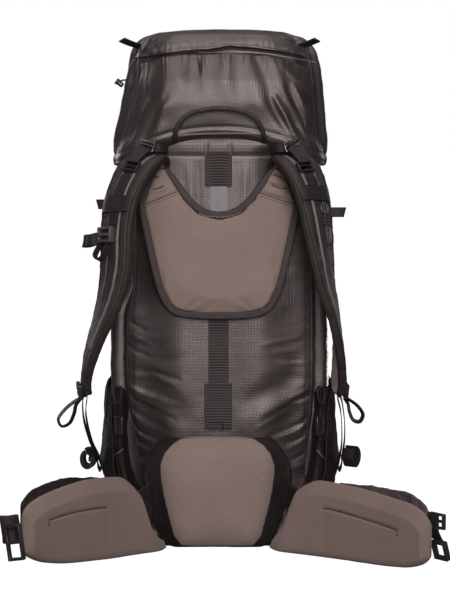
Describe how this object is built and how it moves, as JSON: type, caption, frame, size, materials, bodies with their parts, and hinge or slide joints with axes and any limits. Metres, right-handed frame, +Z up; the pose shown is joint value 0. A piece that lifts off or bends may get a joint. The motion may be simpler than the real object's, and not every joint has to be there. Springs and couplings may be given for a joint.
{
  "type": "trekking backpack",
  "caption": "Tall trekking rucksack with a padded harness: nylon bag and lid, yoke and lumbar pads, shoulder straps, hip fins, webbing and buckles, standing on its base.",
  "frame": {"origin": "middle of the footprint's box, on the floor under the pack", "axes": "+Z up along the pack's height; -Y towards the wearer's side with the harness; +X to the right of a viewer who looks at the harness"},
  "size_m": [0.6266, 0.5308, 0.787],
  "materials": {
    "nylon": "dark warm grey coated ripstop nylon with a soft sheen",
    "dark_nylon": "near black coated nylon",
    "pad_fabric": "matt taupe brushed knit over foam",
    "webbing": "black woven nylon webbing, cord and binding tape",
    "plastic": "black moulded acetal with a satin surface",
    "aluminium": "plain brushed aluminium strip"
  },
  "bodies": {
    "root": {"anchor_buckle_left": "plastic", "anchor_buckle_right": "plastic", "belt_buckle_left": "plastic", "belt_buckle_right": "plastic", "belt_slide_right": "plastic", "belt_webbing_left": "webbing", "belt_webbing_right": "webbing", "frame_stay": "aluminium", "haul_loop": "webbing", "hip_fin_left": "pad_fabric", "hip_fin_right": "pad_fabric", "hip_pocket_left": "dark_nylon", "hip_pocket_right": "dark_nylon", "lid": "nylon", "lid_cord_lock": "plastic", "lid_strap_left": "webbing", "lid_strap_right": "webbing", "lid_tab_left": "webbing", "lid_tab_right": "webbing", "lid_zip_flap": "nylon", "lifter_buckle_left": "plastic", "lifter_buckle_right": "plastic", "load_lifter_left": "webbing", "load_lifter_right": "webbing", "lower_strap_left": "webbing", "lower_strap_right": "webbing", "lumbar_pad": "pad_fabric", "lumbar_surround": "dark_nylon", "main_bag": "nylon", "pull_loop_left": "webbing", "pull_loop_right": "webbing", "shoulder_strap_left": "dark_nylon", "shoulder_strap_right": "dark_nylon", "side_buckle_left": "plastic", "side_buckle_right": "plastic", "side_cord_left": "webbing", "side_cord_right": "webbing", "side_pocket_left": "dark_nylon", "side_pocket_right": "dark_nylon", "side_tab_left": "webbing", "side_tab_right": "webbing", "spine_pocket": "webbing", "spine_webbing": "webbing", "stay_sleeve": "webbing", "sternum_buckle": "plastic", "sternum_clip": "plastic", "sternum_loop": "webbing", "sternum_ring": "plastic", "sternum_tail": "webbing", "strap_adjuster_left": "plastic", "strap_adjuster_right": "plastic", "strap_band_left": "webbing", "strap_band_right": "webbing", "strap_webbing_left": "webbing", "strap_webbing_right": "webbing", "tail_roll_left": "webbing", "tail_roll_right": "webbing", "yoke_binding": "webbing", "yoke_pad": "pad_fabric"}
  },
  "joints": []
}
